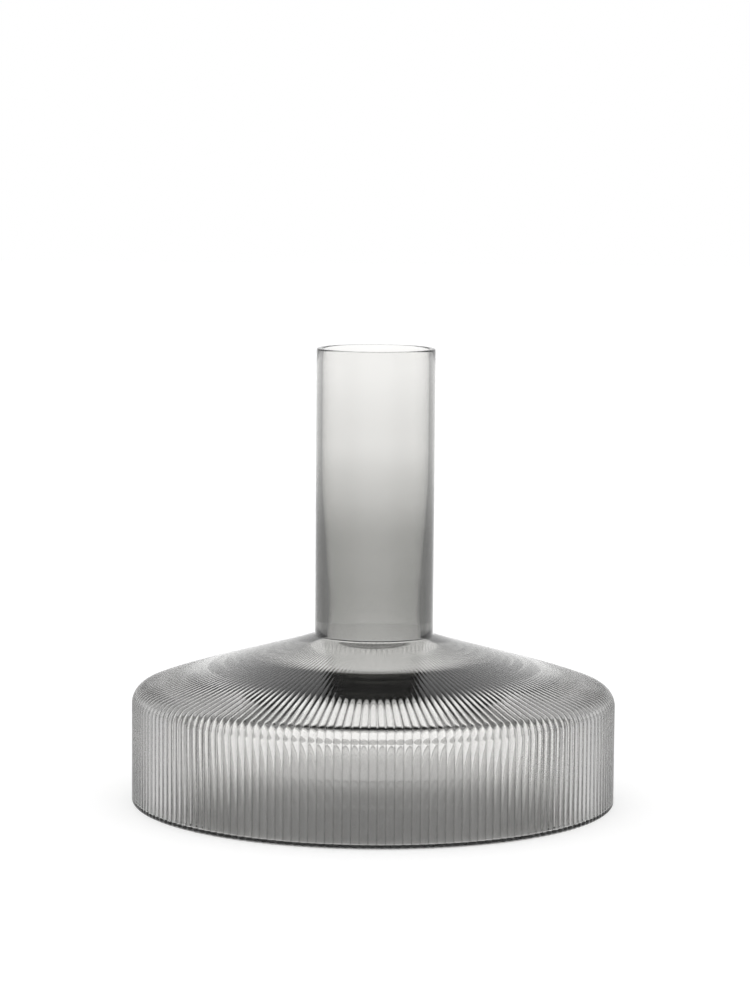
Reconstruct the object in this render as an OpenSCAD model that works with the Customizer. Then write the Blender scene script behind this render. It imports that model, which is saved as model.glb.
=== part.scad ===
// Wine carafe in smoked glass: a low ribbed bowl with a straight, smooth neck.
// The bowl stands on the plane z = 0 and every section is centred on the Z axis.
// One continuous glass wall is built as five sections, fused end to end:
// the neck, its flared foot, the shoulder, the side wall and the base.

/* [Overall] */
// Height from the table to the rim
total_h = 226; // [190:1:260]
// Diameter of the bowl over the crests of the ribs
body_d = 240; // [210:1:270]

/* [Neck] */
// Outer diameter of the neck
neck_d = 58.7; // [50:0.1:66]
// Wall of the neck at the rim
neck_wall = 3; // [2.2:0.1:4]
// Wall of the neck just above its foot
neck_foot_wall = 6.8; // [4:0.1:8]
// Length of the straight part of the bore, from the rim down
bore_l = 60; // [20:1:90]
// Rounding of the two edges of the rim
lip_r = 0.9; // [0.3:0.1:1.1]
// Rounding outside, where the neck meets its flared foot
neck_fillet_r = 1.4; // [0.5:0.1:3]
// Rounding inside, where the bore opens into the bowl
throat_r = 18; // [8:0.5:20]
// Outer diameter of the flared foot, where the ribs begin
flare_d = 80; // [76:1:90]

/* [Shoulder] */
// Height at which the shoulder would reach the side of the neck
shoulder_top_h = 83.8; // [76:0.1:92]
// Slope of the shoulder beside the neck, in degrees
neck_slope = 19; // [14:0.5:24]
// Slope of the shoulder where it rolls over into the side, in degrees
corner_slope = 20; // [16:0.5:26]
// Radius of the roll-over between shoulder and side
corner_r = 9; // [6:0.5:12]
// Radius inside, under the roll-over
inner_corner_r = 5; // [2:0.1:6]
// Wall of the bowl
body_wall = 3; // [2:0.1:4]
// Wall of the shoulder beside the neck, where the glass gathers
shoulder_neck_wall = 7.4; // [4:0.1:8]
// Diameter within which the shoulder has that thick wall
thick_within_d = 110; // [90:1:130]
// Diameter beyond which the shoulder has the wall of the bowl
thin_beyond_d = 194; // [170:1:206]

/* [Side and base] */
// Height of the top of the upright side
side_top_h = 49.7; // [40:0.1:56]
// Radius of the bottom edge
foot_r = 2; // [1:0.1:5]
// Radius of the inner edge between the side wall and the floor
inner_edge_r = 1; // [0.5:0.1:4]
// Thickness of the base
base_t = 2; // [1.5:0.1:4]
// Rise of the domed base at its centre
punt_h = 15; // [6:0.5:18]
// How late the dome flattens: 2 is a round dome, and more is flatter at the centre
punt_power = 3.5; // [2:0.1:5]
// Width of the flat ring that the carafe stands on
rest_ring_w = 2.5; // [1.5:0.5:6]

/* [Ribs] */
// Number of ribs round the bowl
rib_count = 184; // [150:1:210]
// Depth of the valleys between the ribs on the upright side
rib_depth = 0.9; // [0.3:0.05:1.2]
// Depth of the fine valleys on the shoulder
shoulder_rib_depth = 0.1; // [0.05:0.05:0.3]
// Diameter beyond which the fine valleys have that depth
rib_fine_d = 120; // [100:1:140]
// Diameter beyond which the valleys deepen towards the side
rib_deepen_d = 196; // [170:1:206]

/* [Hidden] */
SMOKE = [0.30, 0.31, 0.31, 0.55];

neck_r = neck_d / 2;
bore_r = neck_r - neck_wall;
throat_bore_r = neck_r - neck_foot_wall;
body_r = body_d / 2;
cavity_r = body_r - body_wall;
// Sections meet this far beyond the roundings beside them
seam_above = 0.5;
// Height where the side wall begins
side_bottom_h = max(base_t + inner_edge_r, foot_r) + seam_above;

// Points along one rib, from one valley towards the next
rib_steps = 3;
columns = rib_count * rib_steps;
// Rings of points along the shoulder and its roll-over, outside and inside
shoulder_steps = 4;
corner_steps = 3;
inner_corner_steps = 2;
inner_steps = 4;
// Points along the smooth curves that have no ribs
curve_steps = 10;
arc_steps = 6;
round_fn = 180;
// How far a cutter runs past the face that it cuts
past = 1;
// How far the bottom edge stands out from the crests, so that they run out on its rounding
run_out = 0.05;

function smooth(t) = let (u = max(0, min(1, t))) u * u * (3 - 2 * u);

// Points of an arc in the r-z plane
function arc(centre, r, from, to, steps) =
    [for (i = [0:steps]) let (a = from + (to - from) * i / steps)
        centre + r * [cos(a), sin(a)]];

// The shoulder is a cubic curve from the neck to the roll-over, with a slope given at each end
roll_r = body_r - corner_r * (1 - sin(corner_slope));
roll_h = side_top_h + corner_r * cos(corner_slope);
shoulder_span = roll_r - neck_r;

function shoulder_z(r) =
    let (t = (r - neck_r) / shoulder_span, a = 1 - t)
    shoulder_top_h * a * a * (1 + 2 * t)
    - tan(neck_slope) * shoulder_span * t * a * a
    + roll_h * t * t * (3 - 2 * t)
    + tan(corner_slope) * shoulder_span * t * t * a;

// Slope of that curve in degrees, as a drop outwards
slope_probe = 0.01;
function shoulder_slope(r) =
    atan((shoulder_z(r - slope_probe) - shoulder_z(r + slope_probe)) / (2 * slope_probe));

// The wall of the shoulder swells from that of the bowl towards the neck
wedge_power = 1.5;
function shoulder_wall(r) =
    let (inward = (thin_beyond_d / 2 - r) / (thin_beyond_d / 2 - thick_within_d / 2))
    body_wall + (shoulder_neck_wall - body_wall) * pow(max(0, min(1, inward)), wedge_power);

// Inner face of the shoulder, the ceiling of the bowl, and its slope in degrees
function ceiling_z(r) = shoulder_z(r) - shoulder_wall(r) / cos(shoulder_slope(r));
function ceiling_slope(r) =
    atan((ceiling_z(r - slope_probe) - ceiling_z(r + slope_probe)) / (2 * slope_probe));

// Outer end of the ceiling, and the rounding that joins it to the side wall
wall_offset = corner_r - body_wall;
ceiling_end = body_r - corner_r + wall_offset * sin(corner_slope);
under_corner_r = min(inner_corner_r, wall_offset - seam_above);
under_corner = [cavity_r - under_corner_r, side_top_h
    + (wall_offset - under_corner_r) * (1 - sin(corner_slope)) / cos(corner_slope)];

// Rounding inside, between the bore and the ceiling of the bowl
throat_slope = ceiling_slope(throat_bore_r + throat_r * 0.7);
throat_end = throat_bore_r + throat_r * (1 - sin(throat_slope));
throat_centre = [throat_bore_r + throat_r, ceiling_z(throat_end) + throat_r * cos(throat_slope)];

// The flared foot reaches past that rounding
flare_r = max(flare_d / 2, throat_end + seam_above);
// The flat faces of the shoulder's seat touch the round foot of the neck
seat_r = flare_r / cos(180 / rib_count);

// Depth of the rib valleys at a radius on the shoulder
function shoulder_rib(r) =
    shoulder_rib_depth * smooth((r - flare_r) / (rib_fine_d / 2 - flare_r))
    + (rib_depth - shoulder_rib_depth) * smooth((r - rib_deepen_d / 2) / (roll_r - rib_deepen_d / 2));

// The first column of each rib is its valley, and the others lie on its crest
function sunk(column) = column % rib_steps == 0 ? 1 : 0;

// The direction of a column, with a crest facing each way along X and Y
function column_angle(column) = 360 * (column - rib_steps / 2) / columns;

// A ring of points at [radius, height] on the crests, sunk along the surface normal in the valleys
function rib_ring(r, z, normal, depth) =
    [for (c = [0:columns - 1])
        let (a = column_angle(c), sink = depth * sunk(c), rr = r - sink * cos(normal))
        [rr * cos(a), rr * sin(a), z - sink * sin(normal)]];

// A smooth ring of points with one point a rib, in line with its valley
function plain_ring(p) =
    [for (i = [0:rib_count - 1])
        let (a = column_angle(i * rib_steps)) [p[0] * cos(a), p[0] * sin(a), p[1]]];

// Rounding outside, between the neck and the slope of its foot
fillet_end = neck_r + neck_fillet_r * (1 - sin(neck_slope));
fillet_centre = [neck_r + neck_fillet_r, shoulder_z(fillet_end) + neck_fillet_r * cos(neck_slope)];

// The plain tube of the neck begins just above both roundings
tube_bottom_h = max(fillet_centre[1], throat_centre[1]) + seam_above;

// The neck, as one closed outline turned about the axis
module neck() {
    taper_l = total_h - bore_l - tube_bottom_h;
    rim = concat(
        arc([bore_r + lip_r, total_h - lip_r], lip_r, 180, 90, arc_steps),
        arc([neck_r - lip_r, total_h - lip_r], lip_r, 90, 0, arc_steps));
    taper = [for (i = [0:curve_steps])
        let (t = i / curve_steps)
        [throat_bore_r + (bore_r - throat_bore_r) * smooth(t), tube_bottom_h + taper_l * t]];
    color(SMOKE)
        rotate_extrude($fn = round_fn)
            polygon(concat(rim, [[neck_r, tube_bottom_h]], taper));
}

// The foot of the neck, which spreads into the slope of the shoulder
module neck_foot() {
    outside = concat(
        arc(fillet_centre, neck_fillet_r, 180, 270 - neck_slope, arc_steps),
        [for (i = [1:curve_steps]) let (r = fillet_end + (flare_r - fillet_end) * i / curve_steps)
            [r, shoulder_z(r)]]);
    inside = [for (i = [0:curve_steps - 1])
        let (r = flare_r + (throat_end - flare_r) * i / curve_steps) [r, ceiling_z(r)]];
    throat = arc(throat_centre, throat_r, 270 - throat_slope, 180, arc_steps);
    color(SMOKE)
        rotate_extrude($fn = round_fn)
            polygon(concat([[neck_r, tube_bottom_h]], outside, inside, throat,
                [[throat_bore_r, tube_bottom_h]]));
}

// A closed shell between ribbed outer rings and plain inner rings, both listed from the bottom up
module ribbed_shell(outer, inner) {
    start = len(outer) * columns;
    outer_walls = [for (k = [0:len(outer) - 2], c = [0:columns - 1])
        let (a = k * columns + c, b = k * columns + (c + 1) % columns)
        each [[a, a + columns, b], [b, a + columns, b + columns]]];
    inner_walls = [for (k = [0:len(inner) - 2], i = [0:rib_count - 1])
        let (a = start + k * rib_count + i, b = start + k * rib_count + (i + 1) % rib_count)
        each [[a, b, a + rib_count], [b, b + rib_count, a + rib_count]]];
    bottom = rim_faces(0, start, false);
    top = rim_faces((len(outer) - 1) * columns, start + (len(inner) - 1) * rib_count, true);
    polyhedron([for (ring = concat(outer, inner)) each ring],
        concat(outer_walls, inner_walls, bottom, top), convexity = 6);
}

// Faces that close a shell between an outer ring and an inner ring, each given by its first point
function rim_faces(outer, inner, up) =
    [for (i = [0:rib_count - 1])
        let (a = inner + i, b = inner + (i + 1) % rib_count, o = outer + i * rib_steps,
            last = outer + ((i + 1) * rib_steps) % columns)
        each concat(
            [for (k = [0:rib_steps - 1])
                let (p = o + k, q = k == rib_steps - 1 ? last : o + k + 1)
                up ? [a, q, p] : [a, p, q]],
            [up ? [a, b, last] : [a, last, b]])];

// The shoulder and its roll-over, open in the middle where the flared foot of the neck sits
module ribbed_shoulder() {
    corner = [for (i = [0:corner_steps])
        let (a = (90 - corner_slope) * i / corner_steps)
        rib_ring(body_r - corner_r * (1 - cos(a)), side_top_h + corner_r * sin(a), a, rib_depth)];
    slope = [for (i = [1:shoulder_steps])
        let (r = roll_r + (seat_r - roll_r) * i / shoulder_steps)
        rib_ring(r, shoulder_z(r), 90 - shoulder_slope(r), shoulder_rib(r))];
    under = arc(under_corner, under_corner_r, 0, 90 - corner_slope, inner_corner_steps);
    ceiling = [for (i = [0:inner_steps])
        let (r = ceiling_end + (seat_r - ceiling_end) * i / inner_steps) [r, ceiling_z(r)]];
    color(SMOKE)
        ribbed_shell(concat(corner, slope),
            [for (p = concat([[cavity_r, side_top_h]], under, ceiling)) plain_ring(p)]);
}

// An upright prism with the ribs on its outside
module ribbed_prism(from, to) {
    outline = [for (p = rib_ring(body_r, 0, 0, rib_depth)) [p[0], p[1]]];
    translate([0, 0, from])
        linear_extrude(to - from) polygon(outline);
}

module ribbed_side_wall() {
    color(SMOKE)
        difference() {
            ribbed_prism(side_bottom_h, side_top_h);
            translate([0, 0, side_bottom_h - past])
                cylinder(r = cavity_r, h = side_top_h - side_bottom_h + 2 * past, $fn = round_fn);
        }
}

// Rise of the floor or of the underside at a radius, up to the centre of the dome
function punt_rise(r, edge_r) = punt_h * (1 - pow(r / edge_r, punt_power));

// The base with its rounded edges, on a flat ring round the dome; the ribs run out at its edge
module base() {
    outer_r = body_r + run_out;
    ring_r = body_r - foot_r - rest_ring_w;
    floor_r = cavity_r - inner_edge_r;
    underside = [for (i = [0:curve_steps]) let (r = ring_r * (1 - i / curve_steps))
        [r, punt_rise(r, ring_r)]];
    inside = [for (i = [0:curve_steps]) let (r = floor_r * i / curve_steps)
        [r, base_t + punt_rise(r, floor_r)]];
    inner_edge = arc([floor_r, base_t + inner_edge_r], inner_edge_r, -90, 0, arc_steps);
    foot = arc([outer_r - foot_r, foot_r], foot_r, 0, -90, arc_steps);
    color(SMOKE)
        intersection() {
            ribbed_prism(-past, max(side_bottom_h, base_t + punt_h) + past);
            rotate_extrude($fn = round_fn)
                polygon(concat(underside, inside, [for (i = [1:arc_steps]) inner_edge[i]],
                    [[cavity_r, side_bottom_h], [outer_r, side_bottom_h]], foot));
        }
}

neck();
neck_foot();
ribbed_shoulder();
ribbed_side_wall();
base();
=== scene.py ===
import math
import bpy
import mathutils
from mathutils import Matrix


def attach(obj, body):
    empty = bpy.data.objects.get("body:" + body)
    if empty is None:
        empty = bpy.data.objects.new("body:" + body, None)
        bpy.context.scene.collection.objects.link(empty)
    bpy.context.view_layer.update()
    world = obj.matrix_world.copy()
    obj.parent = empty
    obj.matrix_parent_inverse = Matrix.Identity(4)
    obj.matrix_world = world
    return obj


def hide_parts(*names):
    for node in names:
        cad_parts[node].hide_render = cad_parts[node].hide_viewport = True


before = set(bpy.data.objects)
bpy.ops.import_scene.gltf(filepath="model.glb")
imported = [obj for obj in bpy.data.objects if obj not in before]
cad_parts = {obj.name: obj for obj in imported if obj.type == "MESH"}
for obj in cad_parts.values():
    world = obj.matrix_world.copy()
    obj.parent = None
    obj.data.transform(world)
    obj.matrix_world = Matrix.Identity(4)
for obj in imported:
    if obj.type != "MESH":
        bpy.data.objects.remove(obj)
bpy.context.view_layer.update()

MM = 0.001

# Sizes of the wall in mm, as in the part's source

TOTAL_H = 226.0
BODY_R = 120.0
NECK_R = 29.35
# Wall of the neck at the rim and just above its foot
NECK_WALL = 3.0
NECK_FOOT_WALL = 6.8
# Length of the straight part of the bore, from the rim down
BORE_L = 60.0
LIP_R = 0.9
# Rounding outside, where the neck meets its flared foot
NECK_FILLET_R = 1.4
# Rounding where the bore opens into the bowl, and the share of it at which the ceiling's slope is read
THROAT_R = 18.0
THROAT_SLOPE_AT = 0.7
# Height at which the shoulder would reach the side of the neck
SHOULDER_TOP_H = 83.8
# Slope of the shoulder beside the neck and where it rolls over into the side
NECK_SLOPE = math.radians(19.0)
CORNER_SLOPE = math.radians(20.0)
CORNER_R = 9.0
INNER_CORNER_R = 5.0
BODY_WALL = 3.0
# The shoulder has its own wall within the first of these radii and the body's beyond the second
SHOULDER_NECK_WALL = 7.4
THICK_WITHIN_R = 55.0
THIN_BEYOND_R = 97.0
WEDGE_POWER = 1.5
SIDE_TOP_H = 49.7
FOOT_R = 2.0
INNER_EDGE_R = 1.0
BASE_T = 2.0
# Rise of the domed base; with a power of 2 the dome is round, and with more it is flatter at the centre
PUNT_H = 15.0
PUNT_POWER = 3.5
# Width of the flat ring that the carafe stands on
REST_RING_W = 2.5

# Ribs, in mm

RIBS = 184
# Depth of the valleys on the side
RIB_DEPTH = 0.9
# On the shoulder they begin further in than in the part's source, are shallower and deepen sooner
SHOULDER_RIB_DEPTH = 0.06
RIB_START_R = 34.0
RIB_SHOULDER_R = 60.0
RIB_DEEPEN_R = 85.0
# They run out under the bottom edge, from this many degrees below the horizontal, over this many more
RUN_OUT_FROM = 50
RUN_OUT_OVER = 40
# Shape of a rib across its width: both at 2 would make it half an ellipse, and a lower root a wider valley
RIB_ROUND = 2.0
RIB_ROUND_ROOT = 1.4
# Depth from which a valley has its full painted shade; a higher power keeps that shade closer to its lowest
# line
FULL_VALLEY = 0.3
VALLEY_NARROW = 4.0

# Steps of the mesh

# Columns of points for each rib, where the ribs are
RIB_COLUMNS = 8
# Rows of points along the outside, from the rim down
LIP_STEPS = 6
NECK_STEPS = 14
FILLET_STEPS = 8
PLAIN_SHOULDER_STEPS = 3
SHOULDER_STEPS = 18
CORNER_STEPS = 10
SIDE_STEPS = 7
FOOT_STEPS = 8
PUNT_STEPS = 12
# Rows of points along the inside, which has as many as the outside at the lip
BORE_STEPS = 24
THROAT_STEPS = 7
CEILING_STEPS = 17
INNER_CORNER_STEPS = 8
INNER_SIDE_STEPS = 7
INNER_EDGE_STEPS = 7
FLOOR_STEPS = 14

# Looks of the glass

GLASS_IOR = 1.5
# Tint of the glass, and the share of it that painted shade leaves in the valleys and where the side wall is
# seen edge-on
CREST_TINT = (1.0, 0.995, 0.985, 1.0)
PAINTED_VALLEY_SHADE = 0.4
PAINTED_EDGE_SHADE = 0.05
# How far the side wall is turned away where its painted edge-on shade begins and where it is full, from 0
# face-on to 1 edge-on
EDGE_FROM = 0.4
EDGE_TO = 0.7
# Share of its clearness that the scuffed bottom edge has lost, and its height in mm
SCUFF = 0.9
SCUFFED_BELOW = 1.3
# Widths and heights in mm over which the scuffs, the side wall and the base fade at their bounds
SCUFF_FADE_R = 1.0
SIDE_FADE_H = 2.0
BASE_FADE_R = 4.0
BASE_FADE_H = 6.0
# How far above the dome the base begins to fade
BASE_ABOVE = 1.0
# Smoke in the glass by height in mm, as absorption per metre
SMOKE_BY_HEIGHT = [(0, 12), (60, 15), (70, 50), (86, 84), (113, 98),
                   (135, 122), (157, 106), (180, 63), (226, 32)]
# Its colour is nearly black, so that it takes almost the same share of every colour of light
SMOKE_COLOR = (0.02, 0.025, 0.0, 1.0)
# How many times stronger it is in the base, and the width and height in mm over which that fades
SMOKE_IN_BASE = 3.0
SMOKE_FADE_R = 2.0
SMOKE_FADE_H = 5.0
# Light that one face of the glass lets through to the table, in the wall and in the base
CLEAR_WALL = 0.97
CLEAR_BASE = 0.5

# Looks of the studio, with its lengths in metres

WHITE = (1.0, 1.0, 1.0, 1.0)
# Brightness of the studio by elevation in degrees, as glass and gloss show it
STUDIO_BY_ELEVATION = [(0, 1.0), (30, 1.0), (50, 0.3), (90, 0.3)]
# The same where it arrives by way of a reflection, and the share of the table's light then
REFLECTED_BY_ELEVATION = [(0, 0.9), (10, 0.9), (25, 0.45), (50, 0.3), (90, 0.3)]
REFLECTED_TABLE = 0.45
# Share of the studio's light by the angle from its front or its back, in degrees, with 90 at its sides
STUDIO_BY_AZIMUTH = [(0, 1.0), (25, 1.0), (40, 0.7), (65, 0.7), (80, 1.0), (90, 1.0)]
TABLE_HALF = 6.0
# The table lies this far under the carafe, so that their faces stay apart
TABLE_BELOW = 0.0001
TABLE_WHITE = 0.9
TABLE_ROUGHNESS = 0.9
# Distances from the middle between which the table takes on that share, as glass and gloss show it
TABLE_NEAR = 0.2
TABLE_FAR = 0.5
# Light that the table gives off by itself, as glass and gloss show it and as the camera sees it
TABLE_LIFT = 0.25
CAMERA_LIFT = 0.2
# The first of the two starts under the bowl and is full outside it, in shares of the body's radius, which
# leaves a painted shadow under the bowl where glass shows the table
LIFT_FROM = 0.85
LIFT_TO = 1.2

# Camera, in metres and radians

CAMERA_AWAY = 1.708
CAMERA_H = 0.34325
CAMERA_DOWN = math.radians(6.431)
CAMERA_ROLL = 0.0079
CAMERA_SEES_TO = 50.0
# Focal length in pixels of a frame with this height, which takes the width of the sensor in mm
FOCAL_PIXELS = 3474.0
FRAME_H_PIXELS = 1000
SENSOR_MM = 36.0


def smooth(t):
    """0 up to 0, 1 from 1 on, and a soft step in between."""
    t = max(0.0, min(1.0, t))
    return t * t * (3 - 2 * t)


def spread(start, stop, steps):
    """Evenly spaced values from start to stop, with both ends."""
    return [start + (stop - start) * i / steps for i in range(steps + 1)]


# The outline of the wall, in mm

# Directions of a surface's normal, as angles in the plane of the outline
UP, OUT, DOWN = math.pi / 2, 0.0, -math.pi / 2
# Where the shoulder ends and the roll-over begins
ROLL_R = BODY_R - CORNER_R * (1 - math.sin(CORNER_SLOPE))
ROLL_H = SIDE_TOP_H + CORNER_R * math.cos(CORNER_SLOPE)
SPAN = ROLL_R - NECK_R


def shoulder_z(r):
    """Height of the shoulder, a cubic curve between two slopes."""
    t = (r - NECK_R) / SPAN
    a = 1 - t
    return (SHOULDER_TOP_H * a * a * (1 + 2 * t) - math.tan(NECK_SLOPE) * SPAN * t * a * a
            + ROLL_H * t * t * (3 - 2 * t) + math.tan(CORNER_SLOPE) * SPAN * t * t * a)


def slope_of(height, r, step=0.05):
    """Slope of a curve at a radius, as an angle that is positive where it falls outwards."""
    return math.atan((height(r - step) - height(r + step)) / (2 * step))


def shoulder_wall(r):
    """The wall thickens from the roll-over towards the neck."""
    inward = max(0.0, min(1.0, (THIN_BEYOND_R - r) / (THIN_BEYOND_R - THICK_WITHIN_R)))
    return BODY_WALL + (SHOULDER_NECK_WALL - BODY_WALL) * inward ** WEDGE_POWER


def ceiling_z(r):
    """Height of the inner face of the shoulder."""
    return shoulder_z(r) - shoulder_wall(r) / math.cos(slope_of(shoulder_z, r))


def rib_depth(r):
    """Depth of the valleys at a radius on the shoulder."""
    return (SHOULDER_RIB_DEPTH * smooth((r - RIB_START_R) / (RIB_SHOULDER_R - RIB_START_R))
            + (RIB_DEPTH - SHOULDER_RIB_DEPTH) * smooth((r - RIB_DEEPEN_R) / (ROLL_R - RIB_DEEPEN_R)))


def punt(r, edge_r):
    """Rise of the dome at a radius, for a dome that ends at edge_r."""
    return PUNT_H * (1 - (r / edge_r) ** PUNT_POWER)


def arc(centre, radius, start, stop, steps):
    """(r, z, angle) along a rounding."""
    return [(centre[0] + radius * math.cos(a), centre[1] + radius * math.sin(a), a)
            for a in spread(start, stop, steps)]


def outer_outline():
    """(r, z, direction of the surface normal, rib depth), from the rim down to the punt.

    With the rows come the first and the last one between which the ribs run.
    """
    rows = [(r, z, a, 0.0) for r, z, a in
            arc((NECK_R - LIP_R, TOTAL_H - LIP_R), LIP_R, UP, OUT, LIP_STEPS)]
    fillet_end = NECK_R + NECK_FILLET_R * (1 - math.sin(NECK_SLOPE))
    fillet = (NECK_R + NECK_FILLET_R,
              shoulder_z(fillet_end) + NECK_FILLET_R * math.cos(NECK_SLOPE))
    rows += [(NECK_R, z, OUT, 0.0) for z in spread(TOTAL_H - LIP_R, fillet[1], NECK_STEPS)[1:]]
    rows += [(r, z, a - math.pi, 0.0) for r, z, a in
             arc(fillet, NECK_FILLET_R, math.pi, 1.5 * math.pi - NECK_SLOPE, FILLET_STEPS)[1:]]
    for r in spread(fillet_end, RIB_START_R, PLAIN_SHOULDER_STEPS)[1:]:
        rows.append((r, shoulder_z(r), UP - slope_of(shoulder_z, r), 0.0))
    ribs_from = len(rows) - 1
    for r in spread(RIB_START_R, ROLL_R, SHOULDER_STEPS)[1:]:
        rows.append((r, shoulder_z(r), UP - slope_of(shoulder_z, r), rib_depth(r)))
    rows += [(r, z, a, RIB_DEPTH) for r, z, a in
             arc((BODY_R - CORNER_R, SIDE_TOP_H), CORNER_R, UP - CORNER_SLOPE, OUT, CORNER_STEPS)[1:]]
    rows += [(BODY_R, z, OUT, RIB_DEPTH) for z in spread(SIDE_TOP_H, FOOT_R, SIDE_STEPS)[1:]]
    for r, z, a in arc((BODY_R - FOOT_R, FOOT_R), FOOT_R, OUT, DOWN, FOOT_STEPS)[1:]:
        run_out = smooth((-math.degrees(a) - RUN_OUT_FROM) / RUN_OUT_OVER)
        rows.append((r, z, a, RIB_DEPTH * (1 - run_out)))
    ribs_to = len(rows) - 1
    ring_r = BODY_R - FOOT_R - REST_RING_W
    for r in spread(ring_r, 0.0, PUNT_STEPS)[:-1]:
        rows.append((r, punt(r, ring_r), DOWN, 0.0))
    return rows, ribs_from, ribs_to


def bore_outline():
    """(r, z) from the rim down to the end of the throat, and the radius of that end."""
    bore_r = NECK_R - NECK_WALL
    foot_bore_r = NECK_R - NECK_FOOT_WALL
    rows = [(r, z) for r, z, a in
            arc((bore_r + LIP_R, TOTAL_H - LIP_R), LIP_R, UP, math.pi, LIP_STEPS)]
    slope = slope_of(ceiling_z, foot_bore_r + THROAT_R * THROAT_SLOPE_AT)
    throat_end = foot_bore_r + THROAT_R * (1 - math.sin(slope))
    throat = (foot_bore_r + THROAT_R, ceiling_z(throat_end) + THROAT_R * math.cos(slope))
    taper_l = TOTAL_H - BORE_L - throat[1]
    for z in spread(TOTAL_H - LIP_R, throat[1], BORE_STEPS)[1:]:
        narrowed = 1 - smooth((z - throat[1]) / taper_l)
        rows.append((bore_r + (foot_bore_r - bore_r) * narrowed, z))
    rows += [(r, z) for r, z, a in
             arc(throat, THROAT_R, math.pi, 1.5 * math.pi - slope, THROAT_STEPS)[1:]]
    return rows, throat_end


def inner_outline():
    """(r, z) from the rim down to the floor of the bowl."""
    rows, throat_end = bore_outline()
    # The edge under the roll-over touches the side wall and the end of the ceiling's slope
    across, along = math.sin(CORNER_SLOPE), math.cos(CORNER_SLOPE)
    offset = CORNER_R - BODY_WALL
    ceiling_end = BODY_R - CORNER_R + offset * across
    rows += [(r, ceiling_z(r)) for r in spread(throat_end, ceiling_end, CEILING_STEPS)[1:]]
    corner_r = BODY_R - BODY_WALL - INNER_CORNER_R
    corner_z = SIDE_TOP_H + (offset - INNER_CORNER_R
                             - (corner_r - BODY_R + CORNER_R) * across) / along
    rows += [(r, z) for r, z, a in
             arc((corner_r, corner_z), INNER_CORNER_R, UP - CORNER_SLOPE, OUT, INNER_CORNER_STEPS)]
    side_bottom = BASE_T + INNER_EDGE_R
    rows += [(BODY_R - BODY_WALL, z) for z in spread(corner_z, side_bottom, INNER_SIDE_STEPS)[1:]]
    floor_r = BODY_R - BODY_WALL - INNER_EDGE_R
    rows += [(r, z) for r, z, a in
             arc((floor_r, side_bottom), INNER_EDGE_R, OUT, DOWN, INNER_EDGE_STEPS)[1:]]
    for r in spread(floor_r, 0.0, FLOOR_STEPS)[1:-1]:
        rows.append((r, BASE_T + punt(r, floor_r)))
    return rows


# The mesh of the wall, in metres

def rib_dip(along):
    """0 on the crests, which are at 0 and 1, and 1 in the valley between them, at 0.5."""
    across = abs(1 - 2 * abs(along - 0.5))
    return 1 - (1 - across ** RIB_ROUND) ** (1 / RIB_ROUND_ROOT)


class Wall:
    """Collects rings of points and the faces between them."""

    def __init__(self):
        self.points = []
        self.faces = []
        self.valleys = []

    def ring(self, r, z, normal=0.0, depth=0.0, columns=RIBS):
        """Adds a ring of points, sunk against the normal by a depth in the valleys of the ribs."""
        first = len(self.points)
        for column in range(columns):
            dip = rib_dip((column * RIBS / columns) % 1.0)
            # The first column is at the front
            turn = 2 * math.pi * column / columns - math.pi / 2
            point_r = r - depth * dip * math.cos(normal)
            point_z = z - depth * dip * math.sin(normal)
            self.points.append((point_r * math.cos(turn) * MM, point_r * math.sin(turn) * MM, point_z * MM))
            # How dark the painted shade of the valleys is at this point
            self.valleys.append(dip ** VALLEY_NARROW * min(1.0, depth / FULL_VALLEY))
        return first, columns

    def face(self, corners, turned):
        self.faces.append(tuple(reversed(corners)) if turned else tuple(corners))

    def band(self, upper, lower, turned=False):
        """Faces between two rings, seen from outside with the first one above."""
        (above, count), (below, lower_count) = upper, lower
        if count > lower_count:
            self.comb(upper, lower, turned)
        elif count < lower_count:
            self.comb(lower, upper, not turned)
        else:
            for here in range(count):
                there = (here + 1) % count
                self.face((below + here, below + there, above + there, above + here), turned)

    def comb(self, fine, coarse, turned):
        """Faces between a fine ring and one with a fraction of its points, with the fine one above."""
        per = fine[1] // coarse[1]
        for i in range(coarse[1]):
            here, there = coarse[0] + i, coarse[0] + (i + 1) % coarse[1]
            points = [fine[0] + (i * per + k) % fine[1] for k in range(per + 1)]
            for k in range(per):
                tip = here if k < per // 2 else there
                self.face((tip, points[k + 1], points[k]), turned)
            self.face((here, there, points[per // 2]), turned)

    def fan(self, ring, height, turned=False):
        """Closes a ring with one point on the axis."""
        tip = len(self.points)
        self.points.append((0.0, 0.0, height * MM))
        self.valleys.append(0.0)
        first, count = ring
        for here in range(count):
            self.face((first + here, tip, first + (here + 1) % count), turned)


def build_wall():
    """The whole wall as one closed surface."""
    wall = Wall()
    rows, ribs_from, ribs_to = outer_outline()
    outside = []
    for k, (r, z, normal, depth) in enumerate(rows):
        columns = RIBS * RIB_COLUMNS if ribs_from <= k <= ribs_to else RIBS
        outside.append(wall.ring(r, z, normal, depth, columns))
    for upper, lower in zip(outside, outside[1:]):
        wall.band(upper, lower)
    wall.fan(outside[-1], PUNT_H)
    inside = [wall.ring(r, z) for r, z in inner_outline()]
    for upper, lower in zip(inside, inside[1:]):
        wall.band(upper, lower, turned=True)
    wall.fan(inside[-1], BASE_T + PUNT_H, turned=True)
    wall.band(inside[0], outside[0])
    return wall


# Zones of the wall, for the looks of its points

def scuffs(x, y, z):
    """1 on the outer edge that the carafe stands on and 0 elsewhere, for a point in metres."""
    outer = smooth((math.hypot(x, y) / MM - (BODY_R - FOOT_R - SCUFF_FADE_R)) / SCUFF_FADE_R)
    return outer * (1 - smooth(z / MM / SCUFFED_BELOW))


def base_share(x, y, z):
    """1 on both faces of the base and 0 on the wall, for a point in metres."""
    inside_foot = smooth((BODY_R - BODY_WALL / 2 - math.hypot(x, y) / MM) / BASE_FADE_R)
    return inside_foot * (1 - smooth((z / MM - PUNT_H - BASE_T - BASE_ABOVE) / BASE_FADE_H))


# Bounds the painted edge-on shade of the glass
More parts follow.
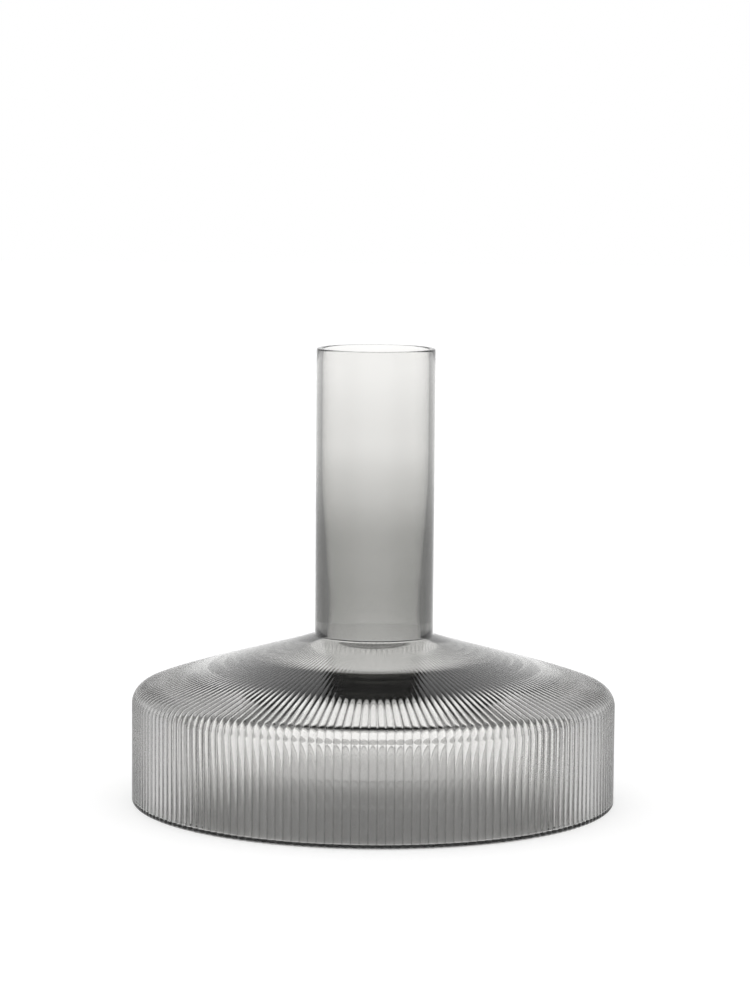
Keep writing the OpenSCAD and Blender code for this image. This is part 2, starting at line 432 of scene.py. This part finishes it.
def upright(x, y, z):
    """1 on the side wall and 0 on the base, the shoulder and above, for a point in metres."""
    above_foot = smooth((z / MM - SCUFFED_BELOW) / SIDE_FADE_H)
    return above_foot * (1 - smooth((z / MM - SIDE_TOP_H) / CORNER_R)) * (1 - base_share(x, y, z))


# Nodes

def grey(value):
    return (value, value, value, 1.0)


def empty_tree(owner):
    """The node tree of a material or a world, with nothing in it."""
    owner.use_nodes = True
    owner.node_tree.nodes.clear()
    return owner.node_tree


def fill(tree, socket, value):
    """Gives an input a value of its own, or a link from the output of another node."""
    if isinstance(value, bpy.types.NodeSocket):
        tree.links.new(value, socket)
    else:
        socket.default_value = value


def node(tree, kind, inputs=None, **settings):
    """A new node with its settings, and with its inputs by name or by number."""
    made = tree.nodes.new("ShaderNode" + kind)
    for name, value in settings.items():
        setattr(made, name, value)
    for key, value in (inputs or {}).items():
        fill(tree, made.inputs[key], value)
    return made


def calculate(tree, operation, *values, clamp=False):
    made = node(tree, "Math", dict(enumerate(values)), operation=operation, use_clamp=clamp)
    return made.outputs[0]


def between(tree, value, start, stop, low=0.0, high=1.0, interpolation="LINEAR"):
    """low up to start, high from stop on, and a slope in between."""
    made = node(tree, "MapRange", {"Value": value, "From Min": start, "From Max": stop,
                                   "To Min": low, "To Max": high},
                interpolation_type=interpolation)
    return made.outputs["Result"]


def mix_colors(tree, share, a, b, blend="MIX"):
    """A colour between a and b, each one a colour or the output of a node."""
    mix = node(tree, "Mix", {"Factor": share}, data_type="RGBA", blend_type=blend)
    for name, value in (("A", a), ("B", b)):
        fill(tree, next(s for s in mix.inputs if s.name == name and s.type == "RGBA"), value)
    return next(s for s in mix.outputs if s.type == "RGBA")


def by_table(tree, place, table, top=1.0):
    """The table's value divided by top; place runs from 0 to 1 at the table's last place."""
    ramp = node(tree, "ValToRGB", {"Fac": place})
    ramp.color_ramp.interpolation = "EASE"
    stops = ramp.color_ramp.elements
    while len(stops) < len(table):
        stops.new(0.5)
    for stop, (at, value) in zip(stops, table):
        stop.position = at / table[-1][0]
        stop.color = grey(value / top)
    return ramp.outputs["Color"]


def attribute(tree, name):
    return node(tree, "Attribute", attribute_name=name).outputs["Fac"]


def any_ray(tree, *kinds):
    """1 for rays of any of these kinds."""
    path = node(tree, "LightPath")
    share = path.outputs[kinds[0]]
    for kind in kinds[1:]:
        share = calculate(tree, "MAXIMUM", share, path.outputs[kind])
    return share


def bounced(tree):
    """1 for rays off gloss or through glass."""
    return any_ray(tree, "Is Glossy Ray", "Is Transmission Ray")


def reflected(tree):
    """1 for rays that have been inside the glass and have met a reflection on their way."""
    path = node(tree, "LightPath")
    return calculate(tree, "MULTIPLY", path.outputs["Glossy Depth"],
                     path.outputs["Transmission Depth"], clamp=True)


# The glass

def tint(share):
    """The glass's tint, darkened to a share of it as painted shade."""
    return tuple(share * part for part in CREST_TINT[:3]) + (1.0,)


def tint_with_painted_shade(tree):
    """The tint, with painted shade in the valleys and where the side wall is seen edge-on."""
    ribbed = mix_colors(tree, attribute(tree, "valley"), CREST_TINT, tint(PAINTED_VALLEY_SHADE))
    facing = node(tree, "LayerWeight", {"Blend": 0.5}).outputs["Facing"]
    turned = between(tree, facing, EDGE_FROM, EDGE_TO, interpolation="SMOOTHSTEP")
    edge_on = calculate(tree, "MULTIPLY", turned, attribute(tree, "upright"))
    return mix_colors(tree, edge_on, ribbed, tint(PAINTED_EDGE_SHADE))


def smoke(tree):
    """Absorption that changes with the height and is stronger in the base than in the wall."""
    place = node(tree, "TexCoord").outputs["Object"]
    height = node(tree, "SeparateXYZ", {0: place}).outputs["Z"]
    flat = node(tree, "VectorMath", {0: place, 1: (1.0, 1.0, 0.0)}, operation="MULTIPLY")
    radius = node(tree, "VectorMath", {0: flat.outputs["Vector"]}, operation="LENGTH")
    inner_r = BODY_R - BODY_WALL
    in_wall = between(tree, radius.outputs["Value"], (inner_r - SMOKE_FADE_R) * MM, inner_r * MM)
    base_h = BASE_T + PUNT_H
    above_base = between(tree, height, base_h * MM, (base_h + SMOKE_FADE_H) * MM)
    beside_base = calculate(tree, "MAXIMUM", in_wall, above_base)
    strength = between(tree, beside_base, 0.0, 1.0, SMOKE_IN_BASE, 1.0)
    most = max(value for at, value in SMOKE_BY_HEIGHT)
    share = by_table(tree, calculate(tree, "DIVIDE", height, TOTAL_H * MM), SMOKE_BY_HEIGHT, most)
    density = calculate(tree, "MULTIPLY", calculate(tree, "MULTIPLY", share, most), strength)
    made = node(tree, "VolumeAbsorption", {"Color": SMOKE_COLOR, "Density": density})
    return made.outputs["Volume"]


def smoked_glass():
    """Glass with smoke in it, and with scuffs on the edge that it stands on."""
    material = bpy.data.materials.new("smoked_glass")
    tree = empty_tree(material)
    glass = node(tree, "BsdfPrincipled", {"Base Color": tint_with_painted_shade(tree), "Roughness": 0.0,
                                          "IOR": GLASS_IOR, "Transmission Weight": 1.0})
    # This input keeps its own value beside the link, for an export that can't follow the nodes
    clearness = calculate(tree, "MULTIPLY_ADD", attribute(tree, "scuffed"), -SCUFF, 1.0)
    fill(tree, glass.inputs["Transmission Weight"], clearness)
    # Light on its way to the table goes straight through the wall
    passes = mix_colors(tree, attribute(tree, "base"), grey(CLEAR_WALL), grey(CLEAR_BASE))
    clear = node(tree, "BsdfTransparent", {"Color": passes})
    lighting = any_ray(tree, "Is Shadow Ray", "Is Diffuse Ray")
    either = node(tree, "MixShader", {0: lighting, 1: glass.outputs["BSDF"], 2: clear.outputs["BSDF"]})
    node(tree, "OutputMaterial", {"Surface": either.outputs["Shader"], "Volume": smoke(tree)})
    return material


scene = bpy.context.scene
carafe_wall = build_wall()
mesh = bpy.data.meshes.new("carafe_glass")
mesh.from_pydata(carafe_wall.points, [], carafe_wall.faces)
mesh.update()
mesh.shade_smooth()
# The valley and upright values mask the painted shade of the glass
for name, values in (("base", [base_share(*point) for point in carafe_wall.points]),
                     ("scuffed", [scuffs(*point) for point in carafe_wall.points]),
                     ("upright", [upright(*point) for point in carafe_wall.points]),
                     ("valley", carafe_wall.valleys)):
    mesh.attributes.new(name, "FLOAT", "POINT").data.foreach_set("value", values)
mesh.materials.append(smoked_glass())
carafe = bpy.data.objects.new("carafe_glass", mesh)
scene.collection.objects.link(carafe)
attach(carafe, "root")
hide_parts("neck", "neck_foot", "ribbed_shoulder", "ribbed_side_wall", "base")


# The stage

def by_azimuth(tree, place):
    """Share of the studio's light in the direction of a point from the middle of the table."""
    sides = node(tree, "SeparateXYZ", {0: place})
    angle = calculate(tree, "ARCTAN2", calculate(tree, "ABSOLUTE", sides.outputs["X"]),
                      calculate(tree, "ABSOLUTE", sides.outputs["Y"]))
    return by_table(tree, calculate(tree, "DIVIDE", angle, math.radians(90)), STUDIO_BY_AZIMUTH)


def table_glow(tree, away):
    """The table's own light: one strength for the camera and another off gloss or through glass, which
    fades out under the bowl as a painted shadow.
    """
    beside_foot = between(tree, away, LIFT_FROM * BODY_R * MM, LIFT_TO * BODY_R * MM, 0.0, TABLE_LIFT)
    lift = mix_colors(tree, any_ray(tree, "Is Camera Ray"), beside_foot, grey(CAMERA_LIFT))
    seen = any_ray(tree, "Is Camera Ray", "Is Glossy Ray", "Is Transmission Ray")
    return calculate(tree, "MULTIPLY", seen, lift)


def white_table():
    """Matt white, and shaded like the studio where gloss or glass shows it."""
    material = bpy.data.materials.new("white_table")
    tree = empty_tree(material)
    where = node(tree, "NewGeometry").outputs["Position"]
    away = node(tree, "VectorMath", {0: where}, operation="LENGTH").outputs["Value"]
    plain = mix_colors(tree, reflected(tree), grey(TABLE_WHITE), grey(TABLE_WHITE * REFLECTED_TABLE))
    far = between(tree, away, TABLE_NEAR, TABLE_FAR)
    shaded = mix_colors(tree, calculate(tree, "MULTIPLY", far, bounced(tree)),
                        WHITE, by_azimuth(tree, where))
    paper = node(tree, "BsdfPrincipled", {
        "Base Color": mix_colors(tree, 1.0, plain, shaded, "MULTIPLY"),
        "Roughness": TABLE_ROUGHNESS, "Specular IOR Level": 0.0,
        "Emission Color": WHITE, "Emission Strength": table_glow(tree, away)})
    node(tree, "OutputMaterial", {"Surface": paper.outputs["BSDF"]})
    return material


def studio():
    """White for the camera and as light, and graded where glass or gloss shows it."""
    world = bpy.data.worlds.new("studio")
    tree = empty_tree(world)
    direction = node(tree, "TexCoord").outputs["Generated"]
    upward = node(tree, "SeparateXYZ", {0: direction}).outputs["Z"]
    elevation = calculate(tree, "DIVIDE", calculate(tree, "ARCSINE", upward), math.radians(90))
    graded = mix_colors(tree, reflected(tree), by_table(tree, elevation, STUDIO_BY_ELEVATION),
                        by_table(tree, elevation, REFLECTED_BY_ELEVATION))
    sky = node(tree, "Background", {
        "Color": mix_colors(tree, bounced(tree), WHITE, graded),
        "Strength": mix_colors(tree, bounced(tree), WHITE, by_azimuth(tree, direction))})
    node(tree, "OutputWorld", {"Surface": sky.outputs["Background"]})
    return world


floor_mesh = bpy.data.meshes.new("floor")
floor_corners = [(x * TABLE_HALF, y * TABLE_HALF, 0) for x, y in ((-1, -1), (1, -1), (1, 1), (-1, 1))]
floor_mesh.from_pydata(floor_corners, [], [(0, 1, 2, 3)])
floor_mesh.materials.append(white_table())
floor = bpy.data.objects.new("floor", floor_mesh)
floor.location.z = -TABLE_BELOW
scene.collection.objects.link(floor)
scene.world = studio()

# The camera

camera_data = bpy.data.cameras.new("camera")
camera_data.sensor_width = SENSOR_MM
camera_data.lens = FOCAL_PIXELS * SENSOR_MM / FRAME_H_PIXELS
camera_data.clip_end = CAMERA_SEES_TO
camera = bpy.data.objects.new("camera", camera_data)
camera.location = (0.0, -CAMERA_AWAY, CAMERA_H)
tilt = mathutils.Matrix.Rotation(math.radians(90) - CAMERA_DOWN, 4, "X")
camera.rotation_euler = (tilt @ mathutils.Matrix.Rotation(CAMERA_ROLL, 4, "Z")).to_euler()
scene.collection.objects.link(camera)
bpy.context.scene.camera = camera

scene.view_settings.view_transform = "Standard"
# Enough bounces for a ray that crosses many faces of glass and is reflected between them
scene.cycles.max_bounces = 24
scene.cycles.transmission_bounces = 24
scene.cycles.glossy_bounces = 16
scene.cycles.caustics_reflective = True
scene.cycles.caustics_refractive = True
scene.cycles.use_denoising = True

bpy.context.view_layer.update()
